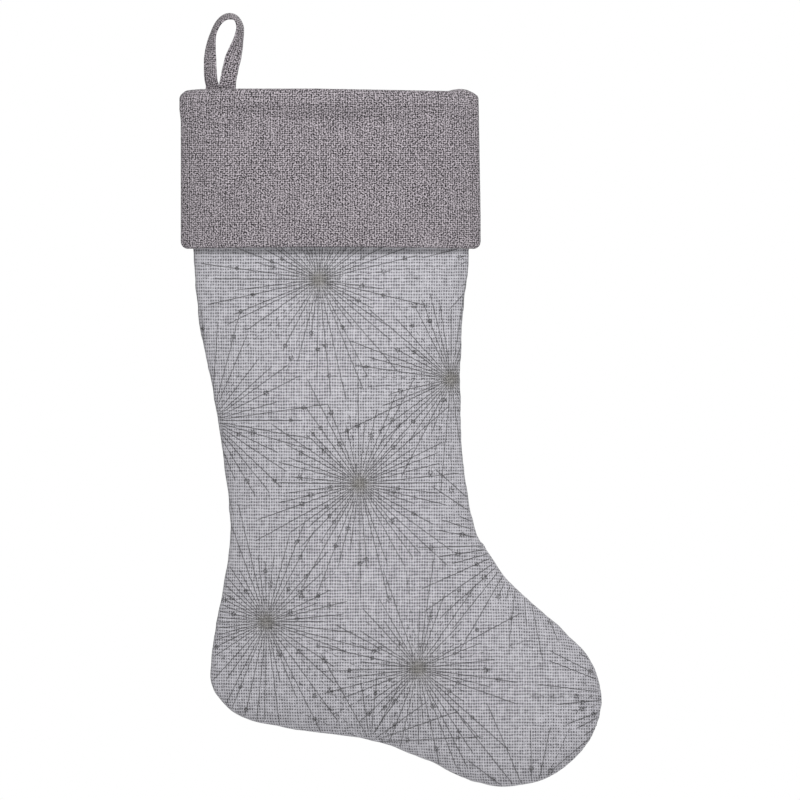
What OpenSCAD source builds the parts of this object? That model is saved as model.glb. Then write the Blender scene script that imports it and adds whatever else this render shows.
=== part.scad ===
// Hanging stocking: a lined cloth stocking with a turned-down double cuff and a sewn loop.
// The origin is the hook point under the top of the loop.
// +X points to the toe side, +Z up, and the front faces -Y.

/* [Stocking] */
// Width of the leg where it leaves the cuff
leg_w = 181; // [177:1:200]
// Height from the mouth down to the lowest point of the toe
drop = 455; // [380:1:540]
// Distance from front to back at the ankle
leg_depth = 38; // [36:1:44]
// Thickness of the outer cloth of the leg
cloth_t = 1.2; // [0.8:0.1:1.6]
// Thickness of the lining
lining_t = 0.6; // [0.4:0.1:0.8]

/* [Cuff] */
// Height of the turned-down cuff
cuff_h = 103; // [70:1:125]
// How far the cuff stands out past the leg at the heel side
cuff_out_heel = 9; // [8:0.5:12]
// How far the cuff stands out past the leg at the toe side
cuff_out_toe = 7; // [7:0.5:12]
// How far the cuff stands out past the leg at the front and at the back
cuff_out_front = 4; // [4:0.5:8]

/* [Loop] */
// Height of the loop from the cuff up to the hook point
loop_h = 44; // [38:1:60]
// Width of the flat strap
strap_w = 8.6; // [7:0.2:8.8]
// Thickness of the folded strap
strap_t = 2; // [1.4:0.1:2.2]
// Length of the tails inside the mouth
tail_len = 32; // [28:1:38]

/* [Threads] */
// Radius of the sewing thread of the seams
thread_r = 0.35; // [0.25:0.05:0.35]
// Radius of the dense middle of a starburst
hub_r = 4.5; // [3:0.5:6]
// Height of the stitches of a starburst above the cloth
hub_h = 0.6; // [0.4:0.1:1]

/* [Hidden] */

leg_cloth_color = "#a9a7ad";
cuff_cloth_color = "#8b868c";
lining_color = "#b9b8bc";
thread_color = "#8d8a90";
burst_color = "#7c7671";

// Sections of the leg and foot, from the mouth to the toe, on a leg 181 wide with a drop of 455.
// Each row: heel-side x and drop, toe-side x and drop, half of the depth.
SECTIONS = [
    [-25, 2, 157, 2, 17],
    [-24.5, 52, 157, 52, 17],
    [-24, 103, 157, 103, 17],
    [-20, 153, 152.5, 153, 17],
    [-10, 203, 151, 203, 17],
    [-3, 253, 154, 252, 17.5],
    [0, 288, 161, 287, 18],
    [-4.5, 323, 166, 296, 18.5],
    [-10.5, 357, 171, 304, 19],
    [-13, 382, 176.5, 312, 19],
    [-6, 399, 183, 320, 19],
    [11, 411, 190.5, 328, 19],
    [48, 418.5, 199.5, 335.5, 18.5],
    [91, 424.5, 210, 344.5, 18],
    [128, 437.5, 221, 354.5, 17.5],
    [156.5, 451, 232, 366, 16],
    [180, 455, 240, 380, 14],
    [204, 451, 243.5, 394, 11],
    [220.5, 441, 243, 403, 8],
    [231.5, 430, 241.5, 410, 5.5],
    [237, 421.5, 240, 415, 0]
];
LAST = len(SECTIONS) - 1;

// Scale of the sections along each axis
kx = leg_w / 181;
kz = drop / 455;
ky = leg_depth / 38;

// The hinge line of the loop, and the rim of the mouth below it
fold_z = -loop_h;
rim_gap = 2.5;
mouth_z = fold_z - rim_gap;

// A cloth section bulges as a lens; a smaller power squares its shoulders
lens_power = 0.65;
columns = 12;
steps_per_section = 2;

// How far each skin lies inside the outline: two cloths with the seams' threads between them
leg_inset = 1.6;
leg_thread_inset = leg_inset + 1.2;
lining_thread_inset = leg_thread_inset + 1.4;
lining_inset = lining_thread_inset + 1.1;
lining_inner_inset = lining_inset + 1.5;
// How far each skin lies inside the depth
layer_gap = 0.25;
lining_dip = cloth_t + layer_gap;
lining_inner_dip = lining_dip + lining_t;
// Half of the span over which the direction of a curve is read, in sections or shares
reach = 0.02;

// The cuff lies between its own outer skin (share 0) and the inner skin of the mouth (share 1)
cuff_skin = [
    SECTIONS[2][0] * kx - cuff_out_heel,
    SECTIONS[2][2] * kx + cuff_out_toe,
    SECTIONS[2][4] * ky + cuff_out_front
];
mouth_skin = [
    SECTIONS[0][0] * kx + lining_inner_inset,
    SECTIONS[0][2] * kx - lining_inner_inset,
    SECTIONS[0][4] * ky - lining_inner_dip
];
// Shares at which the cuff's outer layer ends, and its inner layer starts and ends
layer_in = 0.15;
layer_out = 0.22;
layer_back = 0.37;
layer_mid = (layer_in + layer_out) / 2;
// Profile of the folded cuff cloth, from the mouth's rim over the top, down, round the hem
// and up behind. Each row: share and drop of the outside, then of the inside of the cloth.
CUFF_PROFILE = [
    [1, 0, 1, 1.3],
    [0.7, 0, 0.7, 1.3],
    [0.35, 0, 0.38, 1.3],
    [0.12, 0.7, 0.22, 1.8],
    [0.03, 3, layer_in + 0.01, 3.4],
    [0, 8, layer_in, 8],
    [0, cuff_h / 2, layer_in, cuff_h / 2],
    [0, cuff_h - 5, layer_in, cuff_h - 5],
    [0.03, cuff_h - 1.5, layer_in + 0.01, cuff_h - 3.2],
    [layer_mid, cuff_h, layer_mid, cuff_h - 2.5],
    [layer_back - 0.03, cuff_h - 1.5, layer_out - 0.01, cuff_h - 3.2],
    [layer_back, cuff_h - 5, layer_out, cuff_h - 5],
    [layer_back, cuff_h / 2, layer_out, cuff_h / 2],
    [layer_back, 4, layer_out, 4]
];
cuff_thread_ends = 6;
// The mouth's thread runs midway between the cuff's inner layer and the leg
leg_rim = [SECTIONS[0][0] * kx, SECTIONS[0][2] * kx, SECTIONS[0][4] * ky];
rim_thread_skin = (cuff_skin * (1 - layer_back) + mouth_skin * layer_back + leg_rim) / 2;
rim_thread_drop = 6;

// Middle line of the strap, from the heel-side tail over the hook to the toe-side tail.
// Each row: x, z, then the turn of the strap's face in degrees.
LOOP_LINE = [
    [-11.5, fold_z + 0.2, 0],
    [-12, -33, 0],
    [-12.6, -22, 8],
    [-12.2, -12, 30],
    [-8.5, -3.6, 55],
    [-3.6, 1.2, 68],
    [1, 2.6, 70],
    [5.4, 0.2, 66],
    [7, -6, 48],
    [6, -14, 24],
    [3.6, -24, 8],
    [0.6, -34, 0],
    [-1.7, fold_z + 0.2, 0]
];
strap_steps = 3;
tail_centers = [-11.5, -1.7];
tail_top = 1.8;
tail_gap = 0.3;
tack_t = 0.5;
tack_h = 3;
tack_drop = 24;

// Dense middles of the starbursts: section number, then the share across it from heel to toe
BURSTS = [[2.4, 0.455], [3.7, 0.96], [5.1, 0.555], [8, 0.19], [12, 0.495]];

function lens(s) = pow(max(0, 1 - pow(2 * s - 1, 2)), lens_power);

// Shares across a section, closer together near the seams
shares = [for (j = [0:columns]) (1 - cos(180 * j / columns)) / 2];

function spline(a, b, c, d, u) =
    0.5 * (2 * b + (c - a) * u + (2 * a - 5 * b + 4 * c - d) * u * u
        + (3 * b - a - 3 * c + d) * u * u * u);

// Value at place t on the smooth curve through a list's rows
function along(rows, t) =
    let (last = len(rows) - 1)
    let (i = min(floor(t), last - 1))
    spline(rows[max(i - 1, 0)], rows[i], rows[i + 1], rows[min(i + 2, last)], t - i);

// Point at x and z of a side of the outline at section t; column is 0 at the heel side, 2 at the toe side
function edge_point(t, column) =
    let (c = along(SECTIONS, t))
    [c[column] * kx, mouth_z - c[column + 1] * kz];

// The same, moved inwards square to the outline
function inset_point(t, column, inset) =
    let (run = edge_point(min(t + reach, LAST), column) - edge_point(max(t - reach, 0), column))
    let (inward = [-run[1], run[0]] / norm(run) * (1 - column))
    edge_point(t, column) + inward * inset;

// Point of the front of the leg at section t and share s, on a skin inset from the outline
function leg_point(t, s, inset, dip) =
    let (p = inset_point(t, 0, inset) * (1 - s) + inset_point(t, 2, inset) * s)
    [p[0], -max(0, along(SECTIONS, t)[4] * ky - dip) * lens(s), p[1]];

// Rows of points of one skin of the leg; its last row lies flat in the seam's plane
function leg_skin(inset, dip) =
    let (n = LAST * steps_per_section)
    [for (i = [0:n]) [for (s = shares) leg_point(LAST * i / n, s, inset, i == n ? drop : dip)]];

// Point of a level ring of cloth: its skin's ends and half depth, the drop and place across
function rim_point(skin, d, s) =
    [skin[0] * (1 - s) + skin[1] * s, -skin[2] * lens(s), mouth_z - d];

// Point of the front of the cuff at share w from its outer skin to the mouth
function cuff_point(w, d, s) = rim_point(cuff_skin * (1 - w) + mouth_skin * w, d, s);

function flat(rows) = [for (row = rows) for (p = row) p];

// Closed sheet of cloth between two grids of points
module thick_sheet(outside, inside) {
    rows = len(outside);
    cols = len(outside[0]);
    side = rows * cols;
    polyhedron(
        points = concat(flat(outside), flat(inside)),
        faces = [
            for (i = [0:rows - 2], j = [0:cols - 2])
                let (a = i * cols + j, b = a + 1, c = b + cols, d = a + cols)
                each [[a, b, c], [a, c, d], [side + a, side + c, side + b], [side + a, side + d, side + c]],
            for (i = [0:rows - 2])
                let (a = i * cols, d = a + cols, b = a + cols - 1, c = b + cols)
                each [[a, d, side + d], [a, side + d, side + a], [c, b, side + b], [c, side + b, side + c]],
            for (j = [0:cols - 2])
                let (a = j, b = j + 1, d = (rows - 1) * cols + j, c = d + 1)
                each [[b, a, side + a], [b, side + a, side + b], [d, c, side + c], [d, side + c, side + d]]
        ]
    );
}

// Closed rod through rings of points; a loop's last ring joins its first
module rod(rings, loop = false) {
    n = len(rings);
    k = len(rings[0]);
    spans = loop ? n : n - 1;
    polyhedron(
        points = flat(rings),
        faces = [
            for (i = [0:spans - 1], j = [0:k - 1])
                let (next = (i + 1) % n, a = i * k + j, b = i * k + (j + 1) % k)
                let (c = next * k + (j + 1) % k, d = next * k + j)
                each [[a, c, b], [a, d, c]],
            if (!loop) for (j = [1:k - 2]) each [[0, j, j + 1], [(n - 1) * k, (n - 1) * k + j + 1, (n - 1) * k + j]]
        ]
    );
}

// Ring of a round thread at point p, across the direction of travel
function thread_ring(p, ahead, up, sides = 6) =
    let (run = ahead / norm(ahead))
    let (side = cross(run, up))
    [for (k = [0:sides - 1]) p + thread_r * (cos(360 * k / sides) * up + sin(360 * k / sides) * side)];

// Thread that follows the outline of the leg, from one side of the mouth round the toe to the other
module outline_thread(inset) {
    n = LAST * steps_per_section;
    down = [for (i = [1:n]) leg_point(LAST * i / n, 0, inset, drop)];
    up = [for (i = [n:-1:1]) leg_point(LAST * i / n, 1, inset, drop)];
    path = concat(down, up);
    m = len(path) - 1;
    rod([for (i = [0:m]) thread_ring(path[i], path[min(i + 1, m)] - path[max(i - 1, 0)], [0, 1, 0])]);
}

module leg_panel() {
    color(leg_cloth_color)
        thick_sheet(leg_skin(0, 0), leg_skin(leg_inset, cloth_t));
}

module lining_panel() {
    color(lining_color)
        thick_sheet(leg_skin(lining_inset, lining_dip), leg_skin(lining_inner_inset, lining_inner_dip));
}

module cuff_panel() {
    color(cuff_cloth_color)
        thick_sheet(
            [for (r = CUFF_PROFILE) [for (s = shares) cuff_point(r[0], r[1], s)]],
            [for (r = CUFF_PROFILE) [for (s = shares) cuff_point(r[2], r[3], s)]]
        );
}

// Corner points of the strap's section, wide along the first axis, with softened edges
function strap_section() =
    let (a = strap_w / 2, b = strap_t / 2, soft = strap_t / 4)
    [[a - soft, -b], [a, soft - b], [a, b - soft], [a - soft, b],
     [soft - a, b], [-a, b - soft], [-a, soft - b], [soft - a, -b]];

function strap_ring(t) =
    let (here = along(LOOP_LINE, t))
    let (ahead = along(LOOP_LINE, min(t + 0.1, len(LOOP_LINE) - 1)))
    let (behind = along(LOOP_LINE, max(t - 0.1, 0)))
    let (run = [ahead[0] - behind[0], 0, ahead[1] - behind[1]])
    let (side = [-run[2], 0, run[0]] / norm(run))
    let (wide = cos(here[2]) * side + sin(here[2]) * [0, 1, 0])
    let (thin = cos(here[2]) * [0, 1, 0] - sin(here[2]) * side)
    [for (q = strap_section()) [here[0], 0, here[1]] + q[0] * wide + q[1] * thin];

module hanging_loop() {
    n = (len(LOOP_LINE) - 1) * strap_steps;
    color(cuff_cloth_color)
        rod([for (i = [0:n]) strap_ring(i / strap_steps)]);
}

// Depth of the mouth's inner skin at x
function mouth_y(x) =
    mouth_skin[2] * lens((x - mouth_skin[0]) / (mouth_skin[1] - mouth_skin[0]));

// Flat strip that starts upright under the fold and leans back against the lining
module tail_strip(x, low, high, near, far) {
    half = strap_w / 2;
    heights = [high, (2 * high + low) / 3, (high + 2 * low) / 3, low];
    function lean(d) = min(1, max(0, d - tail_top) / (tail_len - tail_top));
    function strip(away) = [
        for (d = heights) [
            for (i = [-2:2])
                let (px = x + half * i / 2)
                [px, lean(d) * (mouth_y(px) - tail_gap - strap_t / 2) + away, fold_z - d]
        ]
    ];
    thick_sheet(strip(near), strip(far));
}

module loop_tails() {
    color(cuff_cloth_color)
        for (x = tail_centers)
            tail_strip(x, tail_len, tail_top, -strap_t / 2, strap_t / 2);
}

module loop_tack() {
    color(thread_color)
        for (x = tail_centers)
            tail_strip(x, tack_drop + tack_h, tack_drop, -strap_t / 2 - tack_t, -strap_t / 2);
}

module leg_front() {
    leg_panel();
}

module leg_back() {
    mirror([0, 1, 0]) leg_panel();
}

module lining_front() {
    lining_panel();
}

module lining_back() {
    mirror([0, 1, 0]) lining_panel();
}

module cuff_front() {
    cuff_panel();
}

module cuff_back() {
    mirror([0, 1, 0]) cuff_panel();
}

module leg_seam_thread() {
    color(thread_color)
        outline_thread(leg_thread_inset);
}

module lining_seam_thread() {
    color(thread_color)
        outline_thread(lining_thread_inset);
}

module mouth_seam_thread() {
    front = [for (s = shares) rim_point(rim_thread_skin, rim_thread_drop, s)];
    back = [for (j = [columns - 1:-1:1]) [front[j][0], -front[j][1], front[j][2]]];
    path = concat(front, back);
    m = len(path);
    color(thread_color)
        rod([for (i = [0:m - 1]) thread_ring(path[i], path[(i + 1) % m] - path[(i + m - 1) % m], [0, 0, 1])], true);
}

// Upright thread of a side seam of the cuff, between its two layers
module cuff_seam(s) {
    foot = cuff_point(layer_mid, cuff_h - cuff_thread_ends, s);
    color(thread_color)
        translate(foot)
            cylinder(h = cuff_h - 2 * cuff_thread_ends, r = thread_r, $fn = 24);
}

module cuff_seam_heel() {
    cuff_seam(0);
}

module cuff_seam_toe() {
    cuff_seam(1);
}

// Dense middle of a starburst, laid on the front of the leg
module starburst(number) {
    t = BURSTS[number - 1][0];
    s = BURSTS[number - 1][1];
    across = leg_point(t, s + reach, 0, 0) - leg_point(t, s - reach, 0, 0);
    down = leg_point(t + reach, s, 0, 0) - leg_point(t - reach, s, 0, 0);
    out = cross(down, across);
    normal = out / norm(out);
    color(burst_color)
        translate(leg_point(t, s, 0, 0) + normal * layer_gap)
            rotate([0, acos(normal[2]), atan2(normal[1], normal[0])])
                cylinder(h = hub_h, r = hub_r, $fn = 32);
}

leg_front();
leg_back();
lining_front();
lining_back();
cuff_front();
cuff_back();
hanging_loop();
loop_tails();
loop_tack();
leg_seam_thread();
lining_seam_thread();
mouth_seam_thread();
cuff_seam_heel();
cuff_seam_toe();
starburst(1);  // starburst_1
starburst(2);  // starburst_2
starburst(3);  // starburst_3
starburst(4);  // starburst_4
starburst(5);  // starburst_5
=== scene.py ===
"""Looks of a hanging stocking: cloth, cuff, loop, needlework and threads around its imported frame."""

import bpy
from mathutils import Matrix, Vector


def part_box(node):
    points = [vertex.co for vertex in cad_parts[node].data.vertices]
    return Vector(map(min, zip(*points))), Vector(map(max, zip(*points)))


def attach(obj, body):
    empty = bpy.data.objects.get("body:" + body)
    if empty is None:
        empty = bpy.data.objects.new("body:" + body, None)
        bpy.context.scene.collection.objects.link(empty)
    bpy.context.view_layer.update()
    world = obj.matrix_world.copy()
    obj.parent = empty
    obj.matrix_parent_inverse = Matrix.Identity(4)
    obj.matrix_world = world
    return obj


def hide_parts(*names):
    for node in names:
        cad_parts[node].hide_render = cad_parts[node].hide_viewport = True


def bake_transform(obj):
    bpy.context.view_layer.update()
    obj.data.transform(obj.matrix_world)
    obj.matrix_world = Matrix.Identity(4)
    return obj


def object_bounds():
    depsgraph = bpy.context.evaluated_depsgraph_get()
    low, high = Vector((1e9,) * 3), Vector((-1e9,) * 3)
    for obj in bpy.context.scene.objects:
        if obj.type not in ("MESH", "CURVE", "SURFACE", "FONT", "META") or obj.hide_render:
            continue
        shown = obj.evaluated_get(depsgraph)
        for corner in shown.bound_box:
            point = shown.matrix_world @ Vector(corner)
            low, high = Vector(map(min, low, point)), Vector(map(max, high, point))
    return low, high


bl_info = {
    "name": "Hanging Stocking",
    "version": (1, 0, 0),
    "blender": (4, 5, 0),
    "location": "View3D > Sidebar > Stocking",
    "description": "Builds a lined cloth stocking with a woven cuff and starburst needlework",
    "category": "Add Mesh",
}

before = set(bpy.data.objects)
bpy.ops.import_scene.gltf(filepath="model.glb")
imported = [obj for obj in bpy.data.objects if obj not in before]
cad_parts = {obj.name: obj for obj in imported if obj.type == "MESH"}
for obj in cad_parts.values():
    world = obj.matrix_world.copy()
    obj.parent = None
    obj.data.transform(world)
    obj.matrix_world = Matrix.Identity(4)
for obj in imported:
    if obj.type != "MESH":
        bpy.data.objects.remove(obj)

import math

import bmesh
import bpy
import numpy as np
from mathutils import Vector, noise
from mathutils.bvhtree import BVHTree

MM = 0.001
CAD_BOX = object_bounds()

# Sign of y on the outer face of each half
FRONT, BACK = -1, 1
HALVES = (("front", FRONT), ("back", BACK))

# Each half stops this far short of the seam's plane
SEAM_GAP = 0.05 * MM

HUBS = sorted(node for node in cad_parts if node.startswith("starburst"))
WHITE = (1, 1, 1)


# ---------------------------------------------------------------- settings

def size_prop(name, description, default, high=0.1):
    """A length setting, kept on the scene."""
    return bpy.props.FloatProperty(
        name=name, description=description, default=default, min=0.0, max=high,
        unit="LENGTH", precision=5,
    )


def colour_prop(name, description, default):
    """A colour setting, kept on the scene."""
    return bpy.props.FloatVectorProperty(
        name=name, description=description, default=default, size=3, min=0, max=1, subtype="COLOR",
    )


class STOCKING_PG_cloth(bpy.types.PropertyGroup):
    """Sizes and colours of the cloths."""

    leg_thick: size_prop("Leg cloth", "Thickness of the leg's cloth", 1.1 * MM)
    lining_thick: size_prop("Lining", "Thickness of the lining", 0.5 * MM)
    cuff_thick: size_prop("Cuff cloth", "Thickness of one layer of the cuff", 1.0 * MM)
    fine_pitch: size_prop("Fine pitch", "Spacing of the closer yarns of both cloths", 1.68 * MM)
    wide_pitch: size_prop("Wide pitch", "Spacing of the wider yarns of both cloths", 2.06 * MM)
    pucker: size_prop("Pucker", "Height of the ripples along the leg's seam", 0.4 * MM)
    sway: size_prop("Sway", "Height of the broad waves of the leg's cloth", 0.7 * MM)
    leg_light: colour_prop("Leg yarn", "Light side of the leg's yarn", (0.490, 0.482, 0.516))
    leg_dark: colour_prop("Leg gaps", "Shade between the leg's yarns", (0.066, 0.064, 0.072))
    # The cuff's dark colour stands for its dark yarn and for painted shade in the gaps between yarns; its
    # light colour stands for its light yarn and for painted glints
    cuff_light: colour_prop("Cuff yarn", "Light yarn of the cuff", (0.490, 0.443, 0.480))
    cuff_dark_yarn_and_shade: colour_prop("Cuff gaps", "Dark yarn of the cuff", (0.006, 0.0042, 0.0062))
    lining: colour_prop("Lining", "Colour of the lining", (0.50, 0.49, 0.52))


class STOCKING_PG_thread(bpy.types.PropertyGroup):
    """Sizes and colours of the needlework and the sewing threads."""

    radius: size_prop("Ray thread", "Radius of the thread of a starburst's rays", 0.2 * MM)
    knot: size_prop("Knot", "Radius of the small knots on the rays", 1.9 * MM)
    hub: size_prop("Hub", "Radius of the dense middle of a starburst", 4.5 * MM)
    ray: size_prop("Ray", "Length of the longest ray", 82 * MM, high=0.2)
    rays: bpy.props.IntProperty(
        name="Rays", description="Rays of a starburst", default=52, min=12, max=90,
    )
    colour: colour_prop("Rays", "Colour of the rays and knots", (0.082, 0.080, 0.082))
    hub_colour: colour_prop("Hub", "Colour of the dense middles", (0.175, 0.168, 0.157))
    sewing: colour_prop("Sewing thread", "Colour of the sewing thread", (0.30, 0.28, 0.31))


class STOCKING_PG_stage(bpy.types.PropertyGroup):
    """Floor, light and camera."""

    floor: colour_prop("Floor", "Colour of the floor", (0.86, 0.86, 0.86))
    margin: size_prop("Margin", "Room around the stocking in the picture", 8.5 * MM)
    drop: size_prop("Hang", "Height of the toe above the floor", 40 * MM)
    air: bpy.props.FloatProperty(name="Air", description="Strength of the light all round", default=0.32)
    key: bpy.props.FloatProperty(
        name="Key", description="Power of the soft light above", default=16.0, unit="POWER",
    )


# ---------------------------------------------------------------- shaders

class Wire:
    """A shader socket that takes part in sums."""

    def __init__(self, paint, socket):
        self.paint = paint
        self.socket = socket

    def math(self, operation, *others):
        return self.paint.math(operation, self, *others)

    def __add__(self, other):
        return self.math("ADD", other)

    def __sub__(self, other):
        return self.math("SUBTRACT", other)

    def __mul__(self, other):
        return self.math("MULTIPLY", other)

    def __truediv__(self, other):
        return self.math("DIVIDE", other)

    def __pow__(self, other):
        return self.math("POWER", other)

    def __rsub__(self, other):
        return self.paint.math("SUBTRACT", other, self)

    def __rtruediv__(self, other):
        return self.paint.math("DIVIDE", other, self)

    def __rpow__(self, other):
        return self.paint.math("POWER", other, self)

    __radd__ = __add__
    __rmul__ = __mul__


class Paint:
    """Nodes of a material or a world, made by expressions."""

    def __init__(self, owner):
        self.owner = owner
        owner.use_nodes = True
        self.nodes = owner.node_tree.nodes
        self.links = owner.node_tree.links

    def plug(self, socket, value):
        """Gives a socket a link, a colour or a number."""
        if isinstance(value, Wire):
            self.links.new(value.socket, socket)
        elif isinstance(value, tuple) and len(value) == 3 and socket.type == "RGBA":
            socket.default_value = (*value, 1.0)
        else:
            socket.default_value = value

    def node(self, kind, settings=None, inputs=None, out=0):
        """Any node: its settings come first, then its sockets' values or links."""
        made = self.nodes.new(kind)
        for key, value in (settings or {}).items():
            setattr(made, key, value)
        for key, value in (inputs or {}).items():
            self.plug(made.inputs[key], value)
        return Wire(self, made.outputs[out])

    def math(self, operation, *values):
        return self.node("ShaderNodeMath", {"operation": operation}, dict(enumerate(values)))

    def mix(self, factor, low, high):
        """Blend of two colours."""
        made = self.nodes.new("ShaderNodeMix")
        made.data_type = "RGBA"
        for index, value in ((0, factor), (6, low), (7, high)):
            self.plug(made.inputs[index], value)
        return Wire(self, made.outputs[2])

    def noise(self, vector, scale, detail=2.0, roughness=0.5):
        return self.node(
            "ShaderNodeTexNoise", {"noise_dimensions": "3D"},
            {"Vector": vector, "Scale": scale, "Detail": detail, "Roughness": roughness},
        )

    def vector(self, x, y, z=0.0):
        return self.node("ShaderNodeCombineXYZ", None, {"X": x, "Y": y, "Z": z})

    def parts(self, vector):
        """The three numbers of a vector."""
        split = self.node("ShaderNodeSeparateXYZ", None, {"Vector": vector})
        outputs = split.socket.node.outputs
        return [Wire(self, outputs[axis]) for axis in ("X", "Y", "Z")]

    def attribute(self, name, out="Vector"):
        return self.node("ShaderNodeAttribute", {"attribute_name": name}, out=out)

    def bump(self, height, distance, strength):
        inputs = {"Height": height, "Distance": distance, "Strength": strength}
        return self.node("ShaderNodeBump", None, inputs)

    def finish(self, colour, roughness, normal=None, sheen=0.0):
        """Puts the finish on the material: matt, with the sheen of loose fibres."""
        sockets = self.nodes["Principled BSDF"].inputs
        self.plug(sockets["Base Color"], colour)
        self.plug(sockets["Roughness"], roughness)
        if normal is not None:
            self.plug(sockets["Normal"], normal)
        self.plug(sockets["Specular IOR Level"], 0.2)
        self.plug(sockets["Sheen Weight"], sheen)
        self.plug(sockets["Sheen Roughness"], 0.6)
        return self.owner


def new_paint(name):
    """An empty material to be painted."""
    return Paint(bpy.data.materials.new(name))


def limit(value):
    """The value kept between 0 and 1."""
    return value.math("MAXIMUM", 0.0).math("MINIMUM", 1.0)


def tone_of(colour, share):
    """A darker or lighter tone of a colour."""
    return tuple(min(1.0, part * share) for part in colour)


def yarns(paint, x, z, pitch_x, pitch_z, fill, wander):
    """Plain weave on flat cloth: its height, each yarn's own tone, and a chance for each gap."""
    flat = paint.vector(x, z)
    drift = paint.noise(flat, 130.0) - 0.5
    drift_z = paint.noise(paint.vector(z, x, 3.0), 130.0) - 0.5
    u = x / pitch_x + drift * wander
    v = z / pitch_z + drift_z * wander
    column, row = u.math("FLOOR"), v.math("FLOOR")
    # Gaps lie where four yarns part, so a gap's own chance is read from its nearest corner
    corner = paint.vector((u + 0.5).math("FLOOR"), (v + 0.5).math("FLOOR"))
    chance = paint.node("ShaderNodeTexWhiteNoise", {"noise_dimensions": "2D"}, {"Vector": corner})
    # Each yarn swells and thins along its length
    swell_u = paint.noise(paint.vector(column * 3.7, v * 0.35), 1.0, 1.0)
    swell_v = paint.noise(paint.vector(u * 0.35, row * 3.7, 9.0), 1.0, 1.0)
    off_u = ((u - column) - 0.5).math("ABSOLUTE") * 2.0
    off_v = ((v - row) - 0.5).math("ABSOLUTE") * 2.0
    room = fill + chance * 0.22 - 0.11
    round_u = limit(1.0 - (off_u / (room + (swell_u - 0.5) * 0.6)) ** 3.0)
    round_v = limit(1.0 - (off_v / (room + (swell_v - 0.5) * 0.6)) ** 3.0)
    lift_u = ((v - 0.5 + column) * math.pi).math("COSINE") * 0.16 + 0.84
    lift_v = ((u + 0.5 + row) * math.pi).math("COSINE") * 0.16 + 0.84
    height = (round_u * lift_u).math("MAXIMUM", round_v * lift_v)
    return height, swell_u * 0.5 + swell_v * 0.5, chance


def leg_yarns(paint, x, z, cloth):
    """The leg's open weave, which its cloth and its needlework share."""
    return yarns(paint, x, z, cloth.fine_pitch, cloth.wide_pitch, 0.72, 0.5)


def leg_cloth_paint(cloth, hub_colour):
    """Open weave of pale silver-grey linen yarn, tinted a little under the starbursts' middles."""
    paint = new_paint("leg_cloth")
    x, _, z = paint.parts(paint.attribute("flat_cloth"))
    height, tone, _ = leg_yarns(paint, x, z, cloth)
    flat = paint.vector(x, z)
    blotch = paint.noise(flat, 26.0, 3.0)
    fibre = paint.noise(flat, 1500.0, 2.0)
    across = paint.noise(paint.vector(x * 0.10, z), 480.0, 1.0)
    upright = paint.noise(paint.vector(x, z * 0.10, 5.0), 560.0, 1.0)
    streak = across * 0.5 + upright - 0.75
    shade = limit(height + (tone - 0.5) * 0.7 + (fibre - 0.5) * 0.55 + streak * 0.45)
    colour = paint.mix(shade, tuple(cloth.leg_dark), tuple(cloth.leg_light))
    colour = paint.mix(limit((blotch - 0.42) * 1.6) * 0.1, colour, (0.40, 0.39, 0.43))
    tint = paint.attribute("hub_tint", "Fac")
    tinted = paint.mix(shade, tone_of(hub_colour, 0.3), tone_of(hub_colour, 1.45))
    colour = paint.mix(tint * 0.85, colour, tinted)
    normal = paint.bump(height + fibre * 0.25, 0.4 * MM, 0.7)
    return paint.finish(colour, 0.88 - height * 0.08, normal, 0.12)


def cuff_cloth_paint(cloth):
    """Heathered slub tweed: dark and light spots of yarn, in faint rows and columns, with painted shade in
    the sunk dark spots and gaps and painted glints on the raised light spots.
    """
    paint = new_paint("cuff_cloth")
    x, _, z = paint.parts(paint.attribute("flat_cloth"))
    height, tone, _ = yarns(paint, x, z, cloth.wide_pitch, cloth.fine_pitch, 0.62, 1.1)
    flat = paint.vector(x, z)
    # Two scatters of spots in the yarns' own spacing: dark spots, which are dark yarn with painted shade
    # where the cloth sinks between yarns, and light spots, which are light flecks of yarn with painted
    # glints
    wide, fine = x / cloth.wide_pitch, z / cloth.fine_pitch
    from_dark, from_light = (
        paint.node(
            "ShaderNodeTexVoronoi", {"voronoi_dimensions": "2D", "feature": "F1"},
            {"Vector": place, "Scale": 1.3, "Randomness": 0.6},
        )
        for place in (paint.vector(wide, fine), paint.vector(wide + 17.3, fine + 5.1))
    )
    spots = limit((from_dark - 0.22) * 4.6) * 0.66 + limit((0.5 - from_light) * 4.6) * 0.6
    heather = paint.noise(flat, 1500.0, 1.0, 0.6)
    fibre = paint.noise(flat, 1700.0, 2.0)
    across = paint.noise(paint.vector(x * 0.12, z), 330.0, 2.0)
    upright = paint.noise(paint.vector(x, z * 0.12, 5.0), 330.0, 2.0)
    slub = limit((across.math("MAXIMUM", upright) - 0.58) * 6.0)
    # Painted light and shade: the dark spots and the gaps between yarns take painted shade, and the raised
    # light spots take painted glints; heather, slubs and fibres vary at random
    shade = limit(
        spots * 0.92 + height * 0.12 - 0.32 + (heather - 0.5) * 2.3 + (tone - 0.5) * 0.25
        + (fibre - 0.5) * 0.9 + (across + upright - 1.0) * 0.32
    )
    colour = paint.mix(shade, tuple(cloth.cuff_dark_yarn_and_shade), tuple(cloth.cuff_light))
    colour = paint.mix(slub * 0.14, colour, (0.44, 0.41, 0.43))
    normal = paint.bump(spots * 0.8 + height * 0.4 + heather * 0.5, 0.5 * MM, 0.8)
    return paint.finish(colour, 0.92 - spots * 0.08, normal, 0.15)


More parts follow.
